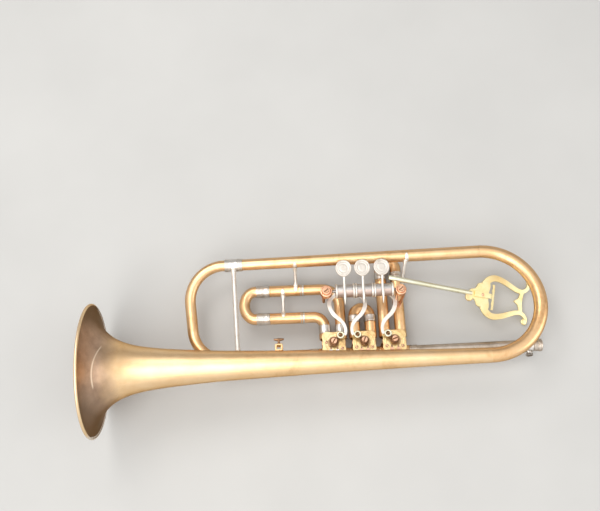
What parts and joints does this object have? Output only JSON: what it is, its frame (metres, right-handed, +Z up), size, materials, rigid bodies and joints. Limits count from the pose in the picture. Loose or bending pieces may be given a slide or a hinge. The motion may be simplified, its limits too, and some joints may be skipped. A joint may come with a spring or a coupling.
{
  "type": "rotary valve flugelhorn",
  "caption": "Rotary-valve flugelhorn in brass and nickel silver with sprung touch-plate keys, slides and a loose marching lyre, lying flat.",
  "frame": {"origin": "centre of the footprint, on the surface that the instrument lies on", "axes": "+X from the bell's mouth towards the player's end, +Y from the bell towards the top tube, +Z up"},
  "size_m": [0.4982, 0.1974, 0.1431],
  "materials": {
    "brass": "lacquered, darkened",
    "bell_brass": "lacquered, with patina",
    "nickel_silver": "satin nickel silver",
    "copper": "worn red brass",
    "steel": "oiled steel",
    "lyre_brass": "bright yellow brass"
  },
  "bodies": {
    "instrument": {"bell": "bell_brass", "bell_bow": "brass", "top_tube": "brass", "main_ferrule": "nickel_silver", "small_bow": "brass", "leadpipe": "nickel_silver", "shank_clamp": "nickel_silver", "valve_casing_1": "brass", "valve_casing_2": "brass", "valve_casing_3": "brass", "bearing_plate_1": "brass", "bearing_plate_2": "brass", "bearing_plate_3": "brass", "dust_cap_1": "brass", "dust_cap_2": "brass", "dust_cap_3": "brass", "first_slide_tube_left": "brass", "first_slide_tube_right": "brass", "second_slide_tube_left": "brass", "second_slide_tube_right": "brass", "third_slide_tube_upper": "brass", "third_slide_tube_lower": "brass", "lever_post_left": "copper", "lever_post_right": "copper", "lever_rod": "steel", "brace_bell": "nickel_silver", "brace_top_tube": "nickel_silver", "brace_third_slide": "nickel_silver", "brace_lever_post": "nickel_silver", "lyre_socket": "brass", "key_spring_1": "steel", "key_spring_2": "steel", "key_spring_3": "steel"},
    "key_1": {"key_1": "nickel_silver"},
    "link_1": {"key_link_1": "nickel_silver"},
    "rotor_1": {"rotor_1": "brass", "stop_arm_1": "nickel_silver", "stop_screw_1": "copper"},
    "key_2": {"key_2": "nickel_silver"},
    "link_2": {"key_link_2": "nickel_silver"},
    "rotor_2": {"rotor_2": "brass", "stop_arm_2": "nickel_silver", "stop_screw_2": "copper"},
    "key_3": {"key_3": "nickel_silver"},
    "link_3": {"key_link_3": "nickel_silver"},
    "rotor_3": {"rotor_3": "brass", "stop_arm_3": "nickel_silver", "stop_screw_3": "copper"},
    "first_slide": {"first_slide_crook": "brass", "first_slide_leg_left": "nickel_silver", "first_slide_leg_right": "nickel_silver"},
    "second_slide": {"second_slide": "brass"},
    "third_slide": {"third_slide_crook": "brass", "third_slide_leg_upper": "nickel_silver", "third_slide_leg_lower": "nickel_silver"},
    "shank": {"tuning_shank": "nickel_silver"},
    "clamp_screw": {"clamp_screw": "steel"},
    "socket_screw": {"socket_screw": "brass"},
    "lyre": {"lyre_frame": "lyre_brass"},
    "lyre_clip": {"lyre_clip": "lyre_brass"}
  },
  "joints": [
    {"name": "key_1_press", "type": "hinge", "parent": "instrument", "child": "key_1", "pos_m": [0.07053, 0.05056, 0.05143], "axis": [-0.9993, 0, 0.0372], "range_deg": [0, 40], "stiffness_Nm_per_rad": 0.03, "springref_deg": -40.11},
    {"name": "link_1_pivot", "type": "hinge", "parent": "key_1", "child": "link_1", "pos_m": [0.07622, 0.05397, 0.03353], "axis": [-0.9993, 0, 0.0372], "range_deg": [-40, 0]},
    {"name": "rotor_1_turn", "type": "hinge", "parent": "instrument", "child": "rotor_1", "pos_m": [0.07978, -0.0058, 0.02159], "axis": [0.0368, 0.1579, 0.9868], "range_deg": [0, 90]},
    {"name": "key_2_press", "type": "hinge", "parent": "instrument", "child": "key_2", "pos_m": [0.04935, 0.05056, 0.05222], "axis": [-0.9993, 0, 0.0372], "range_deg": [0, 40], "stiffness_Nm_per_rad": 0.03, "springref_deg": -40.11},
    {"name": "link_2_pivot", "type": "hinge", "parent": "key_2", "child": "link_2", "pos_m": [0.04274, 0.05397, 0.03478], "axis": [-0.9993, 0, 0.0372], "range_deg": [-40, 0]},
    {"name": "rotor_2_turn", "type": "hinge", "parent": "instrument", "child": "rotor_2", "pos_m": [0.0463, -0.0058, 0.02284], "axis": [0.0368, 0.1579, 0.9868], "range_deg": [0, 90]},
    {"name": "key_3_press", "type": "hinge", "parent": "instrument", "child": "key_3", "pos_m": [0.02831, 0.05056, 0.053], "axis": [-0.9993, 0, 0.0372], "range_deg": [0, 40], "stiffness_Nm_per_rad": 0.03, "springref_deg": -40.11},
    {"name": "link_3_pivot", "type": "hinge", "parent": "key_3", "child": "link_3", "pos_m": [0.01726, 0.05397, 0.03572], "axis": [-0.9993, 0, 0.0372], "range_deg": [-40, 0]},
    {"name": "rotor_3_turn", "type": "hinge", "parent": "instrument", "child": "rotor_3", "pos_m": [0.01283, -0.0058, 0.02409], "axis": [0.0368, 0.1579, 0.9868], "range_deg": [-90, 0]},
    {"name": "first_slide_pull", "type": "slide", "parent": "instrument", "child": "first_slide", "axis": [-0.0059, 0.9875, -0.1578], "range_m": [0, 0.03]},
    {"name": "second_slide_pull", "type": "slide", "parent": "instrument", "child": "second_slide", "axis": [-0.0059, 0.9875, -0.1578], "range_m": [0, 0.007]},
    {"name": "third_slide_pull", "type": "slide", "parent": "instrument", "child": "third_slide", "axis": [-0.9993, 0, 0.0372], "range_m": [0, 0.03]},
    {"name": "tuning_shank_pull", "type": "slide", "parent": "instrument", "child": "shank", "axis": [0.9992, 0.0065, -0.0383], "range_m": [0, 0.015]},
    {"name": "clamp_screw_turn", "type": "hinge", "parent": "instrument", "child": "clamp_screw", "pos_m": [0.22928, -0.02269, 0.01873], "axis": [0.0059, -0.9875, 0.1578], "range_deg": [0, 360]},
    {"name": "socket_screw_turn", "type": "hinge", "parent": "instrument", "child": "socket_screw", "pos_m": [-0.04643, -0.00106, 0.05594], "axis": [-0.0059, 0.9875, -0.1578], "range_deg": [0, 360]},
    {"name": "lyre_draw", "type": "slide", "parent": "instrument", "child": "lyre", "axis": [1, 0, 0], "range_m": [0, 0.06]},
    {"name": "lyre_clip_lift", "type": "hinge", "parent": "lyre", "child": "lyre_clip", "pos_m": [0.17369, 0.04615, 0.02695], "axis": [-0.1768, -0.9837, -0.0342], "range_deg": [0, 25], "stiffness_Nm_per_rad": 0.01, "springref_deg": -22.92}
  ],
  "couplings": [
    {"joint": "link_1_pivot", "follows": "key_1_press", "ratio": -1},
    {"joint": "rotor_1_turn", "follows": "key_1_press", "ratio": 2.25},
    {"joint": "link_2_pivot", "follows": "key_2_press", "ratio": -1},
    {"joint": "rotor_2_turn", "follows": "key_2_press", "ratio": 2.25},
    {"joint": "link_3_pivot", "follows": "key_3_press", "ratio": -1},
    {"joint": "rotor_3_turn", "follows": "key_3_press", "ratio": -2.25}
  ]
}
